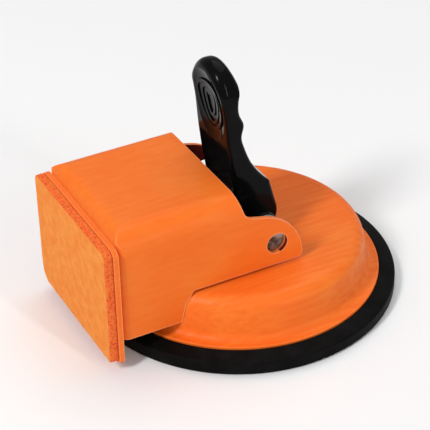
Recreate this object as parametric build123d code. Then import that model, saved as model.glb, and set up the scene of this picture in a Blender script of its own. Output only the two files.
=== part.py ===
from build123d import *
from math import cos, pi, radians, sin
import os

# Single-cup vacuum lifter with a strike housing, used to close gaps in laid flooring.
# Millimetres. The origin is the cup's axis on the floor: the housing reaches out along
# -X to its foam-faced strike plate, the lever flips over towards +X, and +Z is up.

# Rubber pad
PAD_R = 59.0
PAD_SIDE_H = 5.0
PAD_THICKNESS = 6.0
PAD_COLLAR_H = 6.9
PAD_EDGE_ROUND = 0.8
GROOVE_INNER_R = 50.0
GROOVE_OUTER_R = 54.0
GROOVE_DEPTH = 0.9

# Pressed-steel cup
DISH_SHEET = 1.5
FLANGE_R = 52.85
FLANGE_TOP_Z = PAD_THICKNESS + DISH_SHEET
PLATEAU_Z = 23.0
SHOULDER_R = 46.2
SHOULDER_ROUND = 5.5
WALL_FOOT_R = 49.1
WALL_FOOT_ROUND = 3.0

# Pull rod and the steel insert bonded into the rubber
INSERT_R = 25.0
INSERT_THICKNESS = 2.5
INSERT_SINK = 2.0
STEM_R = 5.0
STEM_SPIGOT_R = 4.0
EYE_R = 7.4
EYE_THICKNESS = 9.6
SLIP = 0.05
BODY_GAP = 0.3

# Bush that the lever's cam bears on
BUSH_FLANGE_R = 12.0
BUSH_TOP_Z = 25.2
BUSH_COLLAR_R = 7.0
BUSH_BOTTOM_Z = 18.5

# Lever pin
PIN_Z = 33.1
PIN_R = 4.0
PIN_NEAR_Y = -27.4
PIN_FAR_Y = 21.5
PIN_CHAMFER = 0.5
CLIP_R = 6.2
CLIP_THICKNESS = 0.8
CLIP_GAP_ANGLE = 70.0
GROOVE_CUT = 0.5

# Flip lever
LEVER_HALF_WIDTH = 12.4
LEVER_TIP_Z = 96.4
LEVER_TIP_ARCH = 14.0
LEVER_FLIP_ANGLE = 104.7
CAM_LIFT = 2.5
CAM_GAP = 0.05
CAM_LOW = PIN_Z - BUSH_TOP_Z - CAM_GAP
CAM_FLAT_LENGTH = 11.3
GRIP_EDGE_ROUND = 1.5
GRIP_HEIGHT_BLANK = 99.0
TIP_BACK_X = -12.95
TIP_FRONT_LOW = (4.0, 60.0)
TIP_FRONT_HIGH = (-6.5, 97.8)
TIP_ROUND = 3.4
HUB_R = 6.5
HUB_HALF_LENGTH = 19.0
HUB_ROUND = 0.8
SLOT_HALF_WIDTH = 5.0
SLOT_R = 8.2

# Dished thumb pad on the grip's back and its egg-shaped rings, as (half width, reach up, reach down)
DISH_SEMI_AXES = (3.6, 13.8, 17.4)
DISH_MIDDLE = (-11.1, 78.8)
DISH_TILT = 6.3
DISH_OFFSET = 2.4
RING_WIDEST_Z = 82.0
RINGS = ((9.1, 6.1, 13.1), (6.2, 4.7, 11.3), (3.5, 3.3, 8.1))
RING_WIDTH = 1.3
RING_HEIGHT = 0.5
RING_ROOT_X = -8.0
BEAD_Z = 83.6
BEAD_HALF_SIZE = (1.5, 1.0)

# Lever outline beside the grip, as (X, Z), from the neck up to the tip
GRIP_BACK = ((-7.2, 44.0), (-8.0, 50.0), (-9.2, 58.5), (-10.1, 67.0), (-11.0, 78.0), (-12.2, 86.0), (-12.9, 92.0))
GRIP_FRONT = ((2.4, 53.0), (-1.2, 59.0), (-3.4, 65.0), (-4.3, 70.0))
FINGER_BUMP = ((-3.5, 74.2), (-4.9, 77.8), (-5.5, 81.0))
GRIP_TIP_FRONT = ((-4.9, 87.0), (-4.9, GRIP_HEIGHT_BLANK))
GRIP_TIP_BACK = (TIP_BACK_X, GRIP_HEIGHT_BLANK)

# Folded-steel strike housing
SHEET = 1.4
HOUSING_HALF_WIDTH = 29.1
HOUSING_BACK_X = -62.2
HOUSING_TOP_Z = 56.3
TOP_BEND_R = 8.0
BACK_BEND_R = 5.3
CORNER_BEND_R = 3.5
EAR_HOLE_R = 4.1
CUP_GAP = 0.2
OVERSIZE = 40.0

# Side outline of the housing, as (X, Z, corner radius)
HOUSING_OUTLINE = (
    (HOUSING_BACK_X, 12.3, 0.0),
    (-38.1, 12.3, 1.0),
    (-34.2, 24.3, 2.0),
    (10.4, 24.3, 1.8),
    (10.4, 41.5, 20.0),
    (-12.6, 47.6, 5.0),
    (-14.8, HOUSING_TOP_Z, 0.0),
    (HOUSING_BACK_X, HOUSING_TOP_Z, 0.0),
)

# Strike plate and its foam face
PLATE_THICKNESS = 2.0
PLATE_HALF_WIDTH = 30.4
PLATE_BOTTOM_Z = 3.6
PLATE_TOP_Z = 51.5
PLATE_TOP_R = 3.0
PLATE_BOTTOM_R = 2.0
PLATE_EDGE_ROUND = 0.25
TAPE_THICKNESS = 0.3
FOAM_THICKNESS = 3.1
FOAM_INSET = 0.3
FOAM_EDGE_ROUND = 0.4
FOAM_BOTTOM_Z = 5.0
FOAM_TOP_R = 2.5
FOAM_NEAR_BOTTOM_R = 2.0
FOAM_FAR_BOTTOM_R = 5.5

# Saddle that ties the housing to the cup
SADDLE_SHEET = 2.0
SADDLE_X_MIN = -31.0
SADDLE_X_MAX = -14.0
SADDLE_TOP_Z = 42.0
SADDLE_BEND_R = 3.0
RIVET_R = 2.0
RIVET_HEAD_R = 3.6
RIVET_HEAD_H = 1.6
RIVET_X = (-26.5, -18.5)
RIVET_Y = (-16.0, 16.0)


def rounded_face(corners):
    """Flat face through (x, y, radius) corners, each rounded by its own radius."""
    face = make_face(Polyline(*[(x, y) for x, y, _ in corners], close=True))
    for x, y, radius in corners:
        if radius > 0:
            corner = face.vertices().sort_by_distance((x, y, 0))[0]
            face = fillet(corner, radius)
    return face


def turned(corners):
    """Solid of revolution about the cup's axis from (radius, z, rounding) corners."""
    return revolve(Plane.XZ * rounded_face(corners), Axis.Z)


def across(face, half_width):
    """A face drawn in X and Z, thickened equally to both sides of the middle plane."""
    return extrude(Plane.XZ * face, amount=half_width, both=True)


def disc(radius, low, high, x=0.0, y=0.0):
    """Upright cylinder between two heights."""
    return Pos(x, y, low) * Cylinder(radius, high - low, align=(Align.CENTER, Align.CENTER, Align.MIN))


def rod_along_y(radius, low, high):
    """Cylinder on the lever's pin axis between two Y positions."""
    rod = Rot(-90, 0, 0) * Cylinder(radius, high - low, align=(Align.CENTER, Align.CENTER, Align.MIN))
    return Pos(0, low, PIN_Z) * rod


def make_rubber_pad():
    """Round pad: sealing groove below, a step for the cup's flange and a pocket for the insert above."""
    seat_r = FLANGE_R + BODY_GAP
    pocket_r = INSERT_R + BODY_GAP
    pocket_z = PAD_THICKNESS - INSERT_SINK
    return turned(
        (
            (0, 0, 0),
            (GROOVE_INNER_R, 0, 0.3),
            (GROOVE_INNER_R + 1, GROOVE_DEPTH, 0.3),
            (GROOVE_OUTER_R - 1, GROOVE_DEPTH, 0.3),
            (GROOVE_OUTER_R, 0, 0.3),
            (PAD_R, 0, PAD_EDGE_ROUND),
            (PAD_R, PAD_SIDE_H, PAD_EDGE_ROUND),
            (seat_r, PAD_COLLAR_H, 0.3),
            (seat_r, PAD_THICKNESS, 0),
            (pocket_r, PAD_THICKNESS, 0.3),
            (pocket_r, pocket_z, 0),
            (0, pocket_z, 0),
        )
    )


def make_cup_dish():
    """Pressed cup: flat top with a hole for the bush, sloping wall and a flat flange on the rubber."""
    hole_r = BUSH_COLLAR_R + SLIP
    flange_low = PAD_THICKNESS
    shell = turned(
        (
            (hole_r, PLATEAU_Z, 0),
            (SHOULDER_R, PLATEAU_Z, SHOULDER_ROUND),
            (WALL_FOOT_R, FLANGE_TOP_Z, WALL_FOOT_ROUND),
            (FLANGE_R, FLANGE_TOP_Z, 0.5),
            (FLANGE_R, flange_low, 0.4),
            (WALL_FOOT_R - DISH_SHEET, flange_low, WALL_FOOT_ROUND + DISH_SHEET),
            (SHOULDER_R - DISH_SHEET, PLATEAU_Z - DISH_SHEET, SHOULDER_ROUND - DISH_SHEET),
            (hole_r, PLATEAU_Z - DISH_SHEET, 0),
        )
    )
    for x in RIVET_X:
        for y in RIVET_Y:
            shell -= disc(RIVET_R + SLIP, PLATEAU_Z - 5, PLATEAU_Z + 5, x, y)
    return shell


def make_insert_plate():
    """Steel disc in the rubber's pocket, with a hole for the rod's spigot."""
    low = PAD_THICKNESS - INSERT_SINK
    plate = disc(INSERT_R, low, low + INSERT_THICKNESS)
    plate = fillet(plate.edges().filter_by(GeomType.CIRCLE), 0.4)
    return plate - disc(STEM_SPIGOT_R + SLIP, low - 1, low + INSERT_THICKNESS + 1)


def make_pull_stem():
    """Round rod with a riveted spigot at its foot and a flat-sided eye for the lever's pin."""
    low = PAD_THICKNESS - INSERT_SINK
    shoulder = low + INSERT_THICKNESS
    stem = disc(STEM_SPIGOT_R, low, shoulder)
    stem += disc(STEM_R, shoulder, BUSH_TOP_Z)
    flattened = disc(STEM_R, BUSH_TOP_Z, PIN_Z) & Box(OVERSIZE, EYE_THICKNESS, OVERSIZE * 2)
    stem += flattened
    stem += rod_along_y(EYE_R, -EYE_THICKNESS / 2, EYE_THICKNESS / 2)
    return stem - rod_along_y(PIN_R + SLIP / 2, -STEM_R, STEM_R)


def make_thrust_bush():
    """Flanged bush: the flange takes the cam's load and the collar guides the rod."""
    bush = disc(BUSH_FLANGE_R, PLATEAU_Z, BUSH_TOP_Z)
    bush = fillet(bush.edges().group_by(Axis.Z)[-1], 0.5)
    bush += disc(BUSH_COLLAR_R, BUSH_BOTTOM_Z, PLATEAU_Z)
    return bush - disc(STEM_R + SLIP, BUSH_BOTTOM_Z - 1, BUSH_TOP_Z + 1)


def make_lever_pin():
    """Plain pin with a groove for a clip beyond each of the lever's hubs."""
    pin = rod_along_y(PIN_R, PIN_NEAR_Y, PIN_FAR_Y)
    pin = chamfer(pin.edges().filter_by(GeomType.CIRCLE), PIN_CHAMFER)
    for side in (-1, 1):
        low = side * (HUB_HALF_LENGTH + 0.7) - CLIP_THICKNESS / 2 - SLIP
        high = low + CLIP_THICKNESS + 2 * SLIP
        pin -= rod_along_y(PIN_R + 1, low, high) - rod_along_y(PIN_R - GROOVE_CUT, low, high)
    return pin


def make_pin_clips():
    """Two open clips in the pin's grooves that keep the lever in the middle."""
    clips = []
    mouth = 2 * CLIP_R * sin(radians(CLIP_GAP_ANGLE / 2))
    for side in (-1, 1):
        low = side * (HUB_HALF_LENGTH + 0.7) - CLIP_THICKNESS / 2
        clip = rod_along_y(CLIP_R, low, low + CLIP_THICKNESS)
        clip -= rod_along_y(PIN_R - GROOVE_CUT + SLIP, low - 1, low + CLIP_THICKNESS + 1)
        gap = Box(mouth, 3, CLIP_R * 2, align=(Align.CENTER, Align.CENTER, Align.MAX))
        clips.append(clip - Pos(0, low, PIN_Z) * gap)
    return Compound(children=clips)


def cam_point(turn):
    """Cam outline where the cup's bush touches it once the lever has turned this far."""
    lift_rate = CAM_LIFT / radians(LEVER_FLIP_ANGLE)
    reach = CAM_LOW + lift_rate * radians(turn)
    x = reach * sin(radians(turn)) + lift_rate * cos(radians(turn))
    z = PIN_Z - reach * cos(radians(turn)) + lift_rate * sin(radians(turn))
    return (x, z)


def lever_outline():
    """Side view of the lever: round heel, rising cam, clamped flat and the swept grip."""
    steps = 7
    cam = [cam_point(LEVER_FLIP_ANGLE * step / (steps - 1)) for step in range(steps)]
    flat_dir = (cos(radians(LEVER_FLIP_ANGLE)), sin(radians(LEVER_FLIP_ANGLE)))
    flat_end = (cam[-1][0] + CAM_FLAT_LENGTH * flat_dir[0], cam[-1][1] + CAM_FLAT_LENGTH * flat_dir[1])
    heel_start = (-CAM_LOW, PIN_Z)
    heel_middle = (-CAM_LOW * sin(pi / 4), PIN_Z - CAM_LOW * cos(pi / 4))
    heel_end = (0, PIN_Z - CAM_LOW)
    return make_face(
        [
            ThreePointArc(heel_start, heel_middle, heel_end),
            Line(heel_end, cam[0]),
            Spline(*cam),
            Line(cam[-1], flat_end),
            Spline(flat_end, *GRIP_FRONT, *FINGER_BUMP, *GRIP_TIP_FRONT),
            Line(GRIP_TIP_FRONT[-1], GRIP_TIP_BACK),
            Spline(GRIP_TIP_BACK, *reversed(GRIP_BACK), heel_start),
        ]
    )


def make_tip_form():
    """Rounded wedge with an arched top that the grip is trimmed to, so that its tip is a smooth dome."""
    low = TIP_FRONT_LOW[1]
    side_view = make_face(
        Polyline(
            (TIP_BACK_X, low),
            TIP_FRONT_LOW,
            TIP_FRONT_HIGH,
            (TIP_BACK_X, TIP_FRONT_HIGH[1]),
            close=True,
        )
    )
    arch_z = LEVER_TIP_Z - LEVER_TIP_ARCH
    arch = Pos(0, arch_z) * Ellipse(LEVER_HALF_WIDTH, LEVER_TIP_ARCH)
    sides = Pos(0, low) * Rectangle(2 * LEVER_HALF_WIDTH, arch_z - low, align=(Align.CENTER, Align.MIN))
    front_view = arch + sides
    form = across(side_view, OVERSIZE) & extrude(Plane.YZ * front_view, amount=OVERSIZE, both=True)
    rim = [e for e in form.edges() if e.center().Z > low + 1 and abs(e.tangent_at(0.5).X) < 0.5]
    return fillet(rim, TIP_ROUND)


def make_thumb_dish():
    """Ellipsoid that hollows the thumb pad."""
    hollow = scale(Sphere(1), by=DISH_SEMI_AXES)
    place = Pos(DISH_MIDDLE[0], 0, DISH_MIDDLE[1]) * Rot(0, -DISH_TILT, 0)
    return place * Pos(-DISH_OFFSET, 0, 0) * hollow


def egg(half_width, up, down):
    """Egg outline: two half ellipses that meet at the widest line."""
    upper = Ellipse(half_width, up) & Pos(0, OVERSIZE / 2) * Rectangle(OVERSIZE, OVERSIZE)
    lower = Ellipse(half_width, down) & Pos(0, -OVERSIZE / 2) * Rectangle(OVERSIZE, OVERSIZE)
    return upper + lower


def make_thumb_rings(grip):
    """Raised egg-shaped rings and a bead on the grip's back, following its dished surface."""
    marks = Pos(0, BEAD_Z - RING_WIDEST_Z) * Ellipse(*BEAD_HALF_SIZE)
    for half_width, up, down in RINGS:
        inner = egg(half_width - RING_WIDTH, up - RING_WIDTH, down - RING_WIDTH)
        marks += egg(half_width, up, down) - inner
    tubes = Pos(RING_ROOT_X, 0, 0) * extrude(Plane.YZ * Pos(0, RING_WIDEST_Z) * marks, amount=-OVERSIZE)
    return tubes & Pos(-RING_HEIGHT, 0, 0) * grip


def make_cam_lever():
    """Moulded flip lever: two cam cheeks with side hubs, a slot for the rod's eye and a ringed grip."""
    blank = across(lever_outline(), LEVER_HALF_WIDTH)
    grip_edges = [e for e in blank.edges() if e.center().Z > PIN_Z and abs(e.center().Y) > 1]
    blank = fillet(grip_edges, GRIP_EDGE_ROUND)
    upper = Pos(0, 0, TIP_FRONT_LOW[1]) * Box(
        4 * OVERSIZE, OVERSIZE, OVERSIZE, align=(Align.CENTER, Align.CENTER, Align.MIN)
    )
    blank = (blank - upper) + (blank & make_tip_form())
    blank -= make_thumb_dish()
    lever = blank + make_thumb_rings(blank)
    hub = rod_along_y(HUB_R, -HUB_HALF_LENGTH, HUB_HALF_LENGTH)
    lever += fillet(hub.edges().filter_by(GeomType.CIRCLE), HUB_ROUND)
    slot = rod_along_y(SLOT_R, -SLOT_HALF_WIDTH, SLOT_HALF_WIDTH)
    reach = 2 * CAM_LOW
    for turn in (0, LEVER_FLIP_ANGLE / 2, LEVER_FLIP_ANGLE):
        arm = Box(2 * SLOT_R, 2 * SLOT_HALF_WIDTH, reach, align=(Align.CENTER, Align.CENTER, Align.MAX))
        slot += Pos(0, 0, PIN_Z) * Rot(0, -turn, 0) * arm
    lever -= slot
    return lever - rod_along_y(PIN_R + SLIP, -HUB_HALF_LENGTH - 1, HUB_HALF_LENGTH + 1)


def bent_box(inset):
    """The housing's box with every bend rounded, shrunk on all sides by the inset."""
    back = HOUSING_BACK_X + inset
    half = HOUSING_HALF_WIDTH - inset
    top = HOUSING_TOP_Z - inset
    front = OVERSIZE + inset
    low = -OVERSIZE - inset
    side_view = rounded_face(((back, low, 0), (back, top, BACK_BEND_R - inset), (front, top, 0), (front, low, 0)))
    end_view = rounded_face(
        (
            (-half, low, 0),
            (-half, top, TOP_BEND_R - inset),
            (half, top, TOP_BEND_R - inset),
            (half, low, 0),
        )
    )
    plan_view = rounded_face(
        (
            (back, -half, CORNER_BEND_R - inset),
            (front, -half, 0),
            (front, half, 0),
            (back, half, CORNER_BEND_R - inset),
        )
    )
    box = across(side_view, OVERSIZE)
    box &= extrude(Plane.YZ * end_view, amount=3 * OVERSIZE, both=True)
    return box & extrude(plan_view, amount=3 * OVERSIZE, both=True)


def cup_clearance():
    """Solid that follows the cup's wall from outside, a little larger, to trim the housing to it."""
    return turned(
        (
            (0, PLATEAU_Z + CUP_GAP, 0),
            (SHOULDER_R + CUP_GAP, PLATEAU_Z + CUP_GAP, SHOULDER_ROUND),
            (WALL_FOOT_R + CUP_GAP, FLANGE_TOP_Z, 0),
            (0, FLANGE_TOP_Z, 0),
        )
    )


def make_strike_housing():
    """Folded box open below and towards the lever; its sides run on as ears beside the lever."""
    shell = bent_box(0) - bent_box(SHEET)
    housing = shell & across(rounded_face(HOUSING_OUTLINE), OVERSIZE)
    housing -= cup_clearance()
    return housing - rod_along_y(EAR_HOLE_R, -OVERSIZE, OVERSIZE)


def strike_slab(inset, low, radii, x_min, thickness):
    """Upright sheet facing along X; radii are those of its near top, far top, far and near bottom corners."""
    half = PLATE_HALF_WIDTH - inset
    high = PLATE_TOP_Z - inset
    places = ((-half, high), (half, high), (half, low), (-half, low))
    outline = rounded_face([(*place, radius) for place, radius in zip(places, radii)])
    return Pos(x_min, 0, 0) * extrude(Plane.YZ * outline, amount=thickness)


def make_strike_plate():
    """Steel plate welded to the housing's end, a little wider than the housing."""
    x_min = HOUSING_BACK_X - PLATE_THICKNESS
    radii = (PLATE_TOP_R, PLATE_TOP_R, PLATE_BOTTOM_R, PLATE_BOTTOM_R)
    plate = strike_slab(0, PLATE_BOTTOM_Z, radii, x_min, PLATE_THICKNESS)
    return fillet(plate.faces().sort_by(Axis.X)[0].edges(), PLATE_EDGE_ROUND)


def foam_radii(inset):
    """Corner radii of the foam, or of a sheet that stands this far inside it."""
    radii = (FOAM_TOP_R, FOAM_TOP_R, FOAM_FAR_BOTTOM_R, FOAM_NEAR_BOTTOM_R)
    return [radius - inset for radius in radii]


def make_foam_tape():
    """Thin adhesive sheet between the plate and its foam."""
    x_min = HOUSING_BACK_X - PLATE_THICKNESS - TAPE_THICKNESS
    low = FOAM_BOTTOM_Z + FOAM_INSET
    return strike_slab(2 * FOAM_INSET, low, foam_radii(FOAM_INSET), x_min, TAPE_THICKNESS)


def make_foam_pad():
    """Soft striking face, cut a little smaller than the plate, with one corner cut rounder."""
    x_min = HOUSING_BACK_X - PLATE_THICKNESS - TAPE_THICKNESS - FOAM_THICKNESS
    pad = strike_slab(FOAM_INSET, FOAM_BOTTOM_Z, foam_radii(0), x_min, FOAM_THICKNESS)
    return fillet(pad.faces().sort_by(Axis.X)[0].edges(), FOAM_EDGE_ROUND)


def make_mounting_saddle():
    """U-shaped bracket: its base is riveted to the cup and its sides are welded inside the housing."""
    half = HOUSING_HALF_WIDTH - SHEET
    inner = half - SADDLE_SHEET
    base_top = PLATEAU_Z + SADDLE_SHEET
    section = rounded_face(
        (
            (-half, SADDLE_TOP_Z, 0),
            (-half, PLATEAU_Z, SADDLE_BEND_R),
            (half, PLATEAU_Z, SADDLE_BEND_R),
            (half, SADDLE_TOP_Z, 0),
            (inner, SADDLE_TOP_Z, 0),
            (inner, base_top, SADDLE_BEND_R - SADDLE_SHEET),
            (-inner, base_top, SADDLE_BEND_R - SADDLE_SHEET),
            (-inner, SADDLE_TOP_Z, 0),
        )
    )
    saddle = Pos(SADDLE_X_MIN, 0, 0) * extrude(Plane.YZ * section, amount=SADDLE_X_MAX - SADDLE_X_MIN)
    for x in RIVET_X:
        for y in RIVET_Y:
            saddle -= disc(RIVET_R + SLIP, PLATEAU_Z - 5, PLATEAU_Z + 5, x, y)
    return saddle


def make_saddle_rivets():
    """Four identical round-head rivets through the saddle's base and the cup's flat top."""
    rivets = []
    grip_top = PLATEAU_Z + SADDLE_SHEET
    grip_low = PLATEAU_Z - DISH_SHEET
    for x in RIVET_X:
        for y in RIVET_Y:
            rivet = disc(RIVET_R, grip_low, grip_top, x, y)
            head = disc(RIVET_HEAD_R, grip_top, grip_top + RIVET_HEAD_H, x, y)
            rivet += fillet(head.edges().group_by(Axis.Z)[-1], RIVET_HEAD_H * 0.9)
            foot = disc(RIVET_HEAD_R, grip_low - RIVET_HEAD_H, grip_low, x, y)
            rivet += fillet(foot.edges().group_by(Axis.Z)[0], RIVET_HEAD_H * 0.9)
            rivets.append(rivet)
    return Compound(children=rivets)


NODES = {
    "rubber_pad": make_rubber_pad,
    "cup_dish": make_cup_dish,
    "insert_plate": make_insert_plate,
    "pull_stem": make_pull_stem,
    "thrust_bush": make_thrust_bush,
    "lever_pin": make_lever_pin,
    "pin_clips": make_pin_clips,
    "cam_lever": make_cam_lever,
    "strike_housing": make_strike_housing,
    "strike_plate": make_strike_plate,
    "foam_tape": make_foam_tape,
    "foam_pad": make_foam_pad,
    "mounting_saddle": make_mounting_saddle,
    "saddle_rivets": make_saddle_rivets,
}

os.makedirs("parts", exist_ok=True)
for node, make in NODES.items():
    export_step(make(), f"parts/{node}.step")
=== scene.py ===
import math

import bmesh
import bpy
from mathutils import Matrix, Vector, noise


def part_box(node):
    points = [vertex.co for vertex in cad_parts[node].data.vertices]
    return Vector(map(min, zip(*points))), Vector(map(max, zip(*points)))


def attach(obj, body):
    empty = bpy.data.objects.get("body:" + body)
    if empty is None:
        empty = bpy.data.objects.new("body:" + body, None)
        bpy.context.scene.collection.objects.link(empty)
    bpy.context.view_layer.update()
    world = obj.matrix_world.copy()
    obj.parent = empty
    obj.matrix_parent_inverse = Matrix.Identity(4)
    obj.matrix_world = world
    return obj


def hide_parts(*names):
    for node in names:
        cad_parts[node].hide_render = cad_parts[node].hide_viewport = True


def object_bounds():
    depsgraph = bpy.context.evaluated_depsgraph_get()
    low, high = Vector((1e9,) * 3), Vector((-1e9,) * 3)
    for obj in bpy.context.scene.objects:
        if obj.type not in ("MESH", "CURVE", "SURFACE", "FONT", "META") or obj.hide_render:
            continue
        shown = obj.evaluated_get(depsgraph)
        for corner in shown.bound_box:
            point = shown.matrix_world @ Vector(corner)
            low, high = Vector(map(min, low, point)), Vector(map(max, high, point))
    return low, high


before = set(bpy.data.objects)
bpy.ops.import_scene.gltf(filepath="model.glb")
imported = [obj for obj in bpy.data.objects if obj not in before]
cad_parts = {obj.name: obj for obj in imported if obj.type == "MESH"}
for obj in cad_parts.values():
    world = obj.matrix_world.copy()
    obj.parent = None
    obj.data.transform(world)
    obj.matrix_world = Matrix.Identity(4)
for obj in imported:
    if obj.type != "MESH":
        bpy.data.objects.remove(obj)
cad_low, cad_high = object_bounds()

MM = 0.001

# Camera, placed so that the object is seen as in the reference view
CAMERA_AT = Vector((-237.0, -440.3, 366.0)) * MM
CAMERA_YAW = math.radians(-27.3)
CAMERA_PITCH = math.radians(34.03)
CAMERA_ROLL = math.radians(-1.22)
CAMERA_LENS = 135.8
CAMERA_NEAREST = 0.01
CAMERA_FARTHEST = 20

# Light: an even surround, and soft boxes as (place, width, height, power)
WORLD_STRENGTH = 0.42
LIGHT_BOXES = {
    "key": ((-1.20, -0.40, 1.24), 0.26, 0.46, 15.0),
    "fill": ((0.40, -1.70, 0.80), 0.12, 1.10, 7.5),
    "top": ((0.60, 0.60, 1.80), 1.60, 1.60, 11.0),
}

# Floor
FLOOR_HALF_WIDTH = 6.0
FLOOR_CLEARANCE = 0.1 * MM

# Colours, linear
ORANGE = (0.90, 0.165, 0.014)
ORANGE_WARM = (0.90, 0.205, 0.024)
ORANGE_DEEP = (0.84, 0.115, 0.006)
# Pale orange of the painted highlight along the powder coat's sharp edges
ORANGE_EDGE_HIGHLIGHT = (0.95, 0.48, 0.27)
# Deep red of the painted shade on the folded housing's inner faces
INSIDE_PAINTED_SHADE = (0.11, 0.006, 0.003)
# Foam colours: a painted lit front, and a darker painted shade colour for the cut edge that also gives
# the front its random speckles
FOAM_FACE_LIT = (0.88, 0.31, 0.055)
FOAM_SHADE = (0.84, 0.24, 0.035)
FOAM_CUT_SHADED_AND_SPECKLE = (0.86, 0.115, 0.028)
# Dark red of the painted shade in the open cells of the foam's cut edge
FOAM_PORE_SHADE = (0.40, 0.025, 0.006)
RUBBER = (0.0040, 0.0036, 0.0034)
# Grey for the rubber's worn patches and for its painted edge highlight
RUBBER_WORN_AND_EDGE_SHEEN = (0.0080, 0.0078, 0.0078)
PLASTIC = (0.0022, 0.0022, 0.0024)
PLASTIC_FLOW = (0.004, 0.004, 0.0045)
STEEL = (0.60, 0.59, 0.56)
STEEL_DULL = (0.34, 0.33, 0.31)
# Pin steel: a darker copy of the zinc steel as painted shade for the pin inside the ear's hole, darker
# still in patches
PIN_STEEL_SHADED = (0.36, 0.35, 0.32)
PIN_DARKER_SHADE = (0.07, 0.065, 0.055)
NYLON = (0.62, 0.60, 0.53)
NYLON_STAIN = (0.50, 0.46, 0.38)
# Dark orange of the adhesive sheet's edge, painted shade for the gap between foam and plate
GLUE_EDGE_SHADE = (0.62, 0.075, 0.016)
GLUE_EDGE_SHADE_DARK = (0.48, 0.045, 0.010)
FLOOR = (0.93, 0.93, 0.93)
FLOOR_HAZE = (0.91, 0.91, 0.91)

# Scales of long patterns along X, Y and Z; a scale under 1 draws the pattern out along that axis
UNSTRETCHED = (1, 1, 1)
CUP_STREAKS = (0.08, 1.0, 1.0)
SHEET_STREAKS = (0.2, 1.0, 1.0)
LEVER_SCRATCHES = (1, 1, 0.05)
TURNING_MARKS = (1, 0.1, 1)

# Powder coat: how much the streaks darken each coat, and how much sharp edges take the painted edge
# highlight colour
CUP_STREAK_TONE = 0.6
SHEET_STREAK_TONE = 0.3
COAT_EDGE_HIGHLIGHT = 0.7

# Edge mask: how wide it is, and where it begins and is full, as the cosine of the two normals' angle
EDGE_REACH = 0.8 * MM
EDGE_SAMPLES = 6
EDGE_BEGINS = 0.97
EDGE_FULL = 0.80

# Inside mask: how far an inner face lies from the middle of its shell, against its normal
INSIDE_BEGINS = -12 * MM
INSIDE_FULL = -14 * MM

# Foam material: the front's painted lit colour is full below the first X of the normal and gone above
# the second; elsewhere the cut edge takes its painted shade colour
FOAM_FRONT_FULL = -0.92
FOAM_FRONT_GONE = -0.6
FOAM_SPECKLE_TONE = 0.35
FOAM_SCUFF_TONE = 0.5
FOAM_PORE_SIZE = 0.8 * MM
FOAM_PORE_MIDDLE = 0.12
FOAM_PORE_RIM = 0.5

# Foam striking face: its blank
FOAM_TOP_R = 2.5 * MM
FOAM_FAR_BOTTOM_R = 5.5 * MM
FOAM_NEAR_BOTTOM_R = 2.0 * MM
FOAM_CORNER_STEPS = 8
FOAM_EDGE_SLOPE = 0.5 * MM
FOAM_GROW = 0.35 * MM
FOAM_VOXEL = 0.5 * MM

# Foam striking face: its crowned front
FOAM_CROWN = 0.25 * MM
FOAM_FACE_GRAIN = 0.05 * MM
FOAM_FACE_WAVES = 0.10 * MM
FOAM_GRAIN_SIZE = 1.1 * MM
FOAM_WAVE_SIZE = 11 * MM

# Foam striking face: its torn edge, where the normal's sideways part is over FOAM_EDGE_NORMAL
FOAM_EDGE_NORMAL = 0.5
FOAM_GLUED_DEPTH = 0.97
FOAM_EDGE_PULL = 0.15 * MM
FOAM_EDGE_WANDER = 0.15 * MM
FOAM_WANDER_SIZE = 7 * MM
FOAM_CELL_DEPTH = 0.30 * MM
FOAM_CELL_SIZE = 1.1 * MM
FOAM_CELL_REACH = 0.45
FOAM_TEAR_SIZE = 1.3 * MM


def new_material(name):
    """Material with a bare Principled shader; returns it with its node tree and shader."""
    material = bpy.data.materials.new(name)
    material.use_nodes = True
    tree = material.node_tree
    shader = tree.nodes["Principled BSDF"]
    return material, tree, shader


def object_coordinates(tree, scale=UNSTRETCHED):
    """Object coordinates times a scale along each axis."""
    source = tree.nodes.new("ShaderNodeTexCoord")
    mapping = tree.nodes.new("ShaderNodeMapping")
    mapping.inputs["Scale"].default_value = scale
    tree.links.new(source.outputs["Object"], mapping.inputs["Vector"])
    return mapping.outputs["Vector"]


def vector_math(tree, operation, first, second):
    """Vector maths on an output and either a second output or a fixed vector."""
    node = tree.nodes.new("ShaderNodeVectorMath")
    node.operation = operation
    tree.links.new(first, node.inputs[0])
    if isinstance(second, Vector):
        node.inputs[1].default_value = second
    else:
        tree.links.new(second, node.inputs[1])
    return node


def remap(tree, value, low, high, to_low=0.0, to_high=1.0):
    """Stretch a value from one range to another, clamped."""
    node = tree.nodes.new("ShaderNodeMapRange")
    node.inputs["From Min"].default_value = low
    node.inputs["From Max"].default_value = high
    node.inputs["To Min"].default_value = to_low
    node.inputs["To Max"].default_value = to_high
    tree.links.new(value, node.inputs["Value"])
    return node.outputs["Result"]


def spread(tree, value, low, high):
    """A value from 0 to 1, spread over another range."""
    return remap(tree, value, 0, 1, low, high)


def noise_value(tree, size, detail, scale=UNSTRETCHED):
    """Soft noise whose blobs are about this size in metres."""
    texture = tree.nodes.new("ShaderNodeTexNoise")
    texture.inputs["Scale"].default_value = 1.0 / size
    texture.inputs["Detail"].default_value = detail
    tree.links.new(object_coordinates(tree, scale), texture.inputs["Vector"])
    return texture.outputs["Fac"]


def patches(tree, size, detail, low, high, scale=UNSTRETCHED):
    """Noise with its contrast raised: 0 where it is under low, 1 where it is over high."""
    return remap(tree, noise_value(tree, size, detail, scale), low, high)


def mix_colours(tree, factor, first, second):
    """Blend two colours, or the colour outputs of two nodes, by a factor output."""
    node = tree.nodes.new("ShaderNodeMix")
    node.data_type = "RGBA"
    tree.links.new(factor, node.inputs["Factor"])
    for socket, colour in ((node.inputs["A"], first), (node.inputs["B"], second)):
        if isinstance(colour, tuple):
            socket.default_value = (*colour, 1.0)
        else:
            tree.links.new(colour, socket)
    return node.outputs["Result"]


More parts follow.
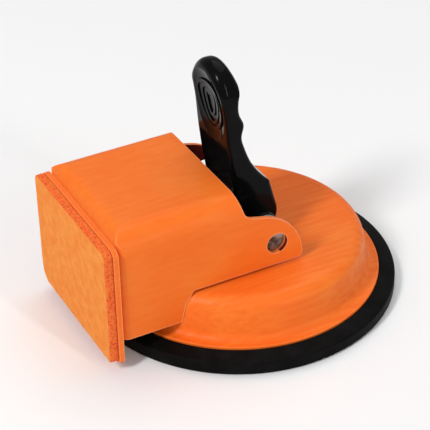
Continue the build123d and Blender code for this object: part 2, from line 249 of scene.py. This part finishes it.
def add_bump(tree, shader, *heights, strength):
    """Chain bump nodes; each height is a value output and its depth in metres."""
    normal = None
    for value, depth in heights:
        bump = tree.nodes.new("ShaderNodeBump")
        bump.inputs["Strength"].default_value = strength
        bump.inputs["Distance"].default_value = depth
        tree.links.new(value, bump.inputs["Height"])
        if normal is not None:
            tree.links.new(normal, bump.inputs["Normal"])
        normal = bump.outputs["Normal"]
    tree.links.new(normal, shader.inputs["Normal"])


def true_normal(tree):
    """The surface's own normal, before smoothing."""
    geometry = tree.nodes.new("ShaderNodeNewGeometry")
    return geometry.outputs["True Normal"]


def edge_mask(tree):
    """White along sharp edges, where the surface's normal and a rounded-off normal disagree."""
    rounded = tree.nodes.new("ShaderNodeBevel")
    rounded.samples = EDGE_SAMPLES
    rounded.inputs["Radius"].default_value = EDGE_REACH
    agreement = vector_math(tree, "DOT_PRODUCT", true_normal(tree), rounded.outputs["Normal"])
    return remap(tree, agreement.outputs["Value"], EDGE_BEGINS, EDGE_FULL)


def inside_mask(tree, node):
    """White on the faces of a folded shell that look towards the middle of its box."""
    low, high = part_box(node)
    outward = vector_math(tree, "SUBTRACT", object_coordinates(tree), (low + high) / 2)
    agreement = vector_math(tree, "DOT_PRODUCT", outward.outputs["Vector"], true_normal(tree))
    return remap(tree, agreement.outputs["Value"], INSIDE_BEGINS, INSIDE_FULL)


def powder_coat(name, streak_scale, streak_tone, hollow_node=None):
    """Satin orange powder coat: tone drift, streaks and a painted highlight along sharp edges; a
    hollow node gets painted shade on its inner faces.
    """
    material, tree, shader = new_material(name)
    drift = patches(tree, size=34 * MM, detail=2, low=0.35, high=0.65)
    streaks = patches(tree, size=1.8 * MM, detail=3, low=0.35, high=0.7, scale=streak_scale)
    tone = mix_colours(tree, drift, ORANGE, ORANGE_WARM)
    tone = mix_colours(tree, spread(tree, streaks, 0, streak_tone), tone, ORANGE_DEEP)
    # painted highlight: sharp edges lightened towards pale orange
    tone = mix_colours(tree, spread(tree, edge_mask(tree), 0, COAT_EDGE_HIGHLIGHT), tone, ORANGE_EDGE_HIGHLIGHT)
    if hollow_node:
        # painted shade: the housing's inner faces darkened to a deep red
        tone = mix_colours(tree, inside_mask(tree, hollow_node), tone, INSIDE_PAINTED_SHADE)
    tree.links.new(tone, shader.inputs["Base Color"])
    tree.links.new(spread(tree, streaks, 0.40, 0.52), shader.inputs["Roughness"])
    shader.inputs["Specular IOR Level"].default_value = 0.18
    peel = noise_value(tree, size=0.9 * MM, detail=2)
    fine = noise_value(tree, size=0.25 * MM, detail=2)
    add_bump(
        tree, shader, (streaks, 0.008 * MM), (peel, 0.02 * MM), (fine, 0.005 * MM), strength=0.6
    )
    return material


def foam_material():
    """Closed-cell foam: a mottled smooth face in a painted lit colour, and a rough cut edge with open
    cells in a darker painted shade colour, with painted shade in its pores.
    """
    material, tree, shader = new_material("orange_foam")
    cells = tree.nodes.new("ShaderNodeTexVoronoi")
    cells.inputs["Scale"].default_value = 1 / FOAM_PORE_SIZE
    tree.links.new(object_coordinates(tree), cells.inputs["Vector"])
    pores = remap(tree, cells.outputs["Distance"], FOAM_PORE_MIDDLE, FOAM_PORE_RIM)
    mottle = patches(tree, size=4 * MM, detail=5, low=0.38, high=0.64)
    speckle = patches(tree, size=0.7 * MM, detail=3, low=0.5, high=0.72)
    scuffs = patches(tree, size=1.6 * MM, detail=3, low=0.35, high=0.6)
    axes = tree.nodes.new("ShaderNodeSeparateXYZ")
    tree.links.new(true_normal(tree), axes.inputs["Vector"])
    # painted light: the front face gets the lit colour, the cut edge the painted shade colour
    lit_front_mask = remap(tree, axes.outputs["X"], FOAM_FRONT_FULL, FOAM_FRONT_GONE, 1, 0)
    face = mix_colours(tree, mottle, FOAM_SHADE, FOAM_FACE_LIT)
    face = mix_colours(tree, spread(tree, speckle, 0, FOAM_SPECKLE_TONE), face, FOAM_CUT_SHADED_AND_SPECKLE)
    # painted shade: the open cells of the cut edge are darkened in their middles
    cut = mix_colours(tree, pores, FOAM_PORE_SHADE, FOAM_CUT_SHADED_AND_SPECKLE)
    cut = mix_colours(tree, spread(tree, scuffs, 0, FOAM_SCUFF_TONE), cut, FOAM_SHADE)
    tree.links.new(mix_colours(tree, lit_front_mask, cut, face), shader.inputs["Base Color"])
    shader.inputs["Roughness"].default_value = 0.9
    shader.inputs["Specular IOR Level"].default_value = 0.2
    grain = noise_value(tree, size=0.5 * MM, detail=3)
    add_bump(tree, shader, (pores, 0.06 * MM), (grain, 0.05 * MM), strength=0.6)
    return material


def rubber_material():
    """Black moulded rubber with a fine matt skin, greyer in worn patches, with a painted highlight
    along its edges.
    """
    material, tree, shader = new_material("black_rubber")
    wear = patches(tree, size=9 * MM, detail=4, low=0.45, high=0.7)
    tone = mix_colours(tree, wear, RUBBER, RUBBER_WORN_AND_EDGE_SHEEN)
    # painted highlight: the rubber's sharp edges lightened to grey
    tone = mix_colours(tree, edge_mask(tree), tone, RUBBER_WORN_AND_EDGE_SHEEN)
    tree.links.new(tone, shader.inputs["Base Color"])
    tree.links.new(spread(tree, wear, 0.42, 0.55), shader.inputs["Roughness"])
    shader.inputs["Specular IOR Level"].default_value = 0.03
    grain = noise_value(tree, size=0.35 * MM, detail=3)
    add_bump(tree, shader, (grain, 0.02 * MM), strength=0.5)
    return material


def plastic_material():
    """Glossy black moulded plastic with faint flow waves and fine scratches in its gloss."""
    material, tree, shader = new_material("gloss_black_plastic")
    flow = patches(tree, size=12 * MM, detail=3, low=0.4, high=0.65)
    scratches = patches(tree, size=0.5 * MM, detail=3, low=0.55, high=0.75, scale=LEVER_SCRATCHES)
    tree.links.new(mix_colours(tree, flow, PLASTIC, PLASTIC_FLOW), shader.inputs["Base Color"])
    tree.links.new(spread(tree, scratches, 0.11, 0.26), shader.inputs["Roughness"])
    shader.inputs["Specular IOR Level"].default_value = 0.07
    waves = noise_value(tree, size=7 * MM, detail=2)
    grain = noise_value(tree, size=0.4 * MM, detail=2)
    add_bump(tree, shader, (waves, 0.10 * MM), (grain, 0.003 * MM), strength=0.5)
    return material


def steel_material(name, bright, dull):
    """Zinc-plated steel with fine turning marks and dull patches."""
    material, tree, shader = new_material(name)
    dullness = patches(tree, size=4 * MM, detail=4, low=0.4, high=0.65)
    tree.links.new(mix_colours(tree, dullness, bright, dull), shader.inputs["Base Color"])
    shader.inputs["Metallic"].default_value = 1.0
    tree.links.new(spread(tree, dullness, 0.3, 0.48), shader.inputs["Roughness"])
    marks = noise_value(tree, size=0.3 * MM, detail=2, scale=TURNING_MARKS)
    add_bump(tree, shader, (marks, 0.01 * MM), strength=0.5)
    return material


def nylon_material():
    """Off-white nylon with a soft moulded skin."""
    material, tree, shader = new_material("natural_nylon")
    stain = patches(tree, size=5 * MM, detail=3, low=0.45, high=0.7)
    tree.links.new(mix_colours(tree, stain, NYLON, NYLON_STAIN), shader.inputs["Base Color"])
    shader.inputs["Roughness"].default_value = 0.45
    shader.inputs["Subsurface Weight"].default_value = 0.1
    skin = noise_value(tree, size=0.6 * MM, detail=2)
    add_bump(tree, shader, (skin, 0.01 * MM), strength=0.5)
    return material


def glue_material():
    """Thin adhesive sheet, of which only the edge is seen, coloured dark orange as painted shade for
    the gap between the foam and the plate.
    """
    material, tree, shader = new_material("adhesive_sheet")
    fibres = patches(tree, size=0.6 * MM, detail=3, low=0.35, high=0.65)
    # painted shade: the sheet's edge is dark orange like the shaded gap, with random fibres
    tree.links.new(mix_colours(tree, fibres, GLUE_EDGE_SHADE, GLUE_EDGE_SHADE_DARK), shader.inputs["Base Color"])
    shader.inputs["Roughness"].default_value = 0.8
    add_bump(tree, shader, (fibres, 0.02 * MM), strength=0.5)
    return material


def floor_material():
    """Plain pale floor."""
    material, tree, shader = new_material("pale_floor")
    haze = patches(tree, size=300 * MM, detail=2, low=0.3, high=0.7)
    tree.links.new(mix_colours(tree, haze, FLOOR, FLOOR_HAZE), shader.inputs["Base Color"])
    shader.inputs["Roughness"].default_value = 0.9
    return material


def paint_nodes(material, *names):
    """Give CAD nodes one material."""
    for name in names:
        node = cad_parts[name]
        node.data.materials.clear()
        node.data.materials.append(material)


def paint_all_nodes():
    """Give every CAD node that stays visible its material."""
    zinc = steel_material("zinc_steel", STEEL, STEEL_DULL)
    paint_nodes(powder_coat("orange_pressed_cup", CUP_STREAKS, CUP_STREAK_TONE), "cup_dish")
    paint_nodes(
        powder_coat("orange_folded_sheet", SHEET_STREAKS, SHEET_STREAK_TONE, "strike_housing"),
        "strike_housing",
    )
    paint_nodes(powder_coat("orange_plate", SHEET_STREAKS, SHEET_STREAK_TONE), "strike_plate")
    paint_nodes(rubber_material(), "rubber_pad")
    paint_nodes(plastic_material(), "cam_lever")
    paint_nodes(zinc, "insert_plate", "pull_stem", "pin_clips", "mounting_saddle", "saddle_rivets")
    # painted shade: the pin gets a darker copy of the steel, darker still in patches
    paint_nodes(steel_material("shaded_pin_steel", PIN_STEEL_SHADED, PIN_DARKER_SHADE), "lever_pin")
    paint_nodes(nylon_material(), "thrust_bush")
    paint_nodes(glue_material(), "foam_tape")


def add_object(name, data):
    """New object for a mesh, camera or light, linked into the scene."""
    made = bpy.data.objects.new(name, data)
    bpy.context.scene.collection.objects.link(made)
    return made


def make_camera():
    """Camera at the reference view."""
    data = bpy.data.cameras.new("camera")
    data.lens = CAMERA_LENS
    data.clip_start = CAMERA_NEAREST
    data.clip_end = CAMERA_FARTHEST
    camera = add_object("camera", data)
    turn = Matrix.Rotation(CAMERA_YAW, 4, "Z") @ Matrix.Rotation(math.pi / 2 - CAMERA_PITCH, 4, "X")
    camera.matrix_world = Matrix.Translation(CAMERA_AT) @ turn @ Matrix.Rotation(CAMERA_ROLL, 4, "Z")
    bpy.context.scene.camera = camera


def area_light(name, at, towards, width, height, power):
    """Rectangular soft light."""
    data = bpy.data.lights.new(name, "AREA")
    data.shape = "RECTANGLE"
    data.size = width
    data.size_y = height
    data.energy = power
    light = add_object(name, data)
    light.location = at
    light.rotation_mode = "QUATERNION"
    light.rotation_quaternion = (towards - Vector(at)).to_track_quat("-Z", "Y")


def make_lights():
    """Soft surround, a key box on the foam's side, a narrow fill in front and a wide box above."""
    world = bpy.data.worlds.new("studio")
    world.use_nodes = True
    background = world.node_tree.nodes["Background"]
    background.inputs["Color"].default_value = (1, 1, 1, 1)
    background.inputs["Strength"].default_value = WORLD_STRENGTH
    bpy.context.scene.world = world
    middle = (cad_low + cad_high) / 2
    for name, (place, width, height, power) in LIGHT_BOXES.items():
        area_light(name, place, middle, width, height, power)


def make_floor():
    """Wide floor just under the object."""
    mesh = bpy.data.meshes.new("floor")
    half = FLOOR_HALF_WIDTH
    corners = [(-half, -half, 0), (half, -half, 0), (half, half, 0), (-half, half, 0)]
    mesh.from_pydata(corners, [], [(0, 1, 2, 3)])
    mesh.materials.append(floor_material())
    floor = add_object("floor", mesh)
    floor.location.z = cad_low.z - FLOOR_CLEARANCE


def foam_ring(inset, x):
    """Rounded-rectangle outline of the foam at one X, set in from its widest outline."""
    low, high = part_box("foam_pad")
    low = low - Vector((0, FOAM_GROW, FOAM_GROW))
    high = high + Vector((0, FOAM_GROW, FOAM_GROW))
    corners = (
        (low.y, high.z, FOAM_TOP_R),
        (high.y, high.z, FOAM_TOP_R),
        (high.y, low.z, FOAM_FAR_BOTTOM_R),
        (low.y, low.z, FOAM_NEAR_BOTTOM_R),
    )
    centre = (low + high) / 2
    points = []
    for index, (y, z, radius) in enumerate(corners):
        middle_y = y - math.copysign(radius, y - centre.y)
        middle_z = z - math.copysign(radius, z - centre.z)
        start = math.pi - index * math.pi / 2
        reach = radius - inset
        for step in range(FOAM_CORNER_STEPS + 1):
            angle = start - step * math.pi / 2 / FOAM_CORNER_STEPS
            y_here = middle_y + reach * math.cos(angle)
            z_here = middle_z + reach * math.sin(angle)
            points.append(Vector((x, y_here, z_here)))
    return points


def foam_blank():
    """Plain closed solid of the foam sheet, ready for remeshing."""
    low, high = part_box("foam_pad")
    mesh = bmesh.new()
    rings = []
    for inset, x in ((FOAM_EDGE_SLOPE, low.x), (0, low.x + FOAM_EDGE_SLOPE), (0, high.x)):
        rings.append([mesh.verts.new(point) for point in foam_ring(inset, x)])
    for front, back in zip(rings, rings[1:]):
        for index in range(len(front)):
            after = (index + 1) % len(front)
            mesh.faces.new((front[index], front[after], back[after], back[index]))
    mesh.faces.new(rings[0])
    mesh.faces.new(list(reversed(rings[-1])))
    bmesh.ops.recalc_face_normals(mesh, faces=mesh.faces)
    data = bpy.data.meshes.new("foam_striking_face")
    mesh.to_mesh(data)
    mesh.free()
    return add_object("foam_striking_face", data)


def remesh_foam(piece):
    """Replace the blank's mesh by an even voxel mesh."""
    remesh = piece.modifiers.new("remesh", "REMESH")
    remesh.mode = "VOXEL"
    remesh.voxel_size = FOAM_VOXEL
    depsgraph = bpy.context.evaluated_depsgraph_get()
    finished = bpy.data.meshes.new_from_object(piece.evaluated_get(depsgraph))
    piece.modifiers.clear()
    piece.data = finished


def torn_edge_move(point, depth, outward):
    """Move of an edge point: the edge wanders, sinks in its middle and has open cells and tears."""
    cell_distance = noise.voronoi(point / FOAM_CELL_SIZE)[0][0]
    wander = noise.noise(point / FOAM_WANDER_SIZE) * FOAM_EDGE_WANDER
    sink = FOAM_EDGE_PULL * math.sin(math.pi * depth / FOAM_GLUED_DEPTH)
    pit = FOAM_CELL_DEPTH * max(0.0, FOAM_CELL_REACH - cell_distance)
    tear = noise.noise(point / FOAM_TEAR_SIZE) * FOAM_CELL_DEPTH
    return outward.normalized() * (wander - FOAM_EDGE_WANDER - sink - pit - abs(tear))


def crowned_face_move(point, across_y, across_z):
    """Move of a front point: the face falls back towards its rim, with fine grain and slow waves."""
    crown = FOAM_CROWN * (across_y ** 4 + across_z ** 4) / 2
    grain = noise.noise(point / FOAM_GRAIN_SIZE) * FOAM_FACE_GRAIN
    waves = noise.noise(point / FOAM_WAVE_SIZE) * FOAM_FACE_WAVES
    return Vector((crown + grain + waves, 0, 0))


def roughen_foam(piece):
    """Crown the face a little and tear the cut edge; the glued back stays flat."""
    low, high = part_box("foam_pad")
    centre = (low + high) / 2
    half = (high - low) / 2
    for vertex in piece.data.vertices:
        point = vertex.co.copy()
        depth = (point.x - low.x) / (high.x - low.x)
        if depth > FOAM_GLUED_DEPTH:
            continue
        outward = Vector((0, vertex.normal.y, vertex.normal.z))
        if outward.length > FOAM_EDGE_NORMAL:
            vertex.co += torn_edge_move(point, depth, outward)
        else:
            across_y = (point.y - centre.y) / half.y
            across_z = (point.z - centre.z) / half.z
            vertex.co += crowned_face_move(point, across_y, across_z)


def make_foam_face():
    """Foam striking face that stands for the plain CAD solid."""
    piece = foam_blank()
    remesh_foam(piece)
    roughen_foam(piece)
    piece.data.shade_smooth()
    piece.data.materials.clear()
    piece.data.materials.append(foam_material())
    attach(piece, "cup")
    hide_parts("foam_pad")


bpy.context.scene.view_settings.view_transform = "Standard"
make_camera()
make_lights()
make_floor()
paint_all_nodes()
make_foam_face()
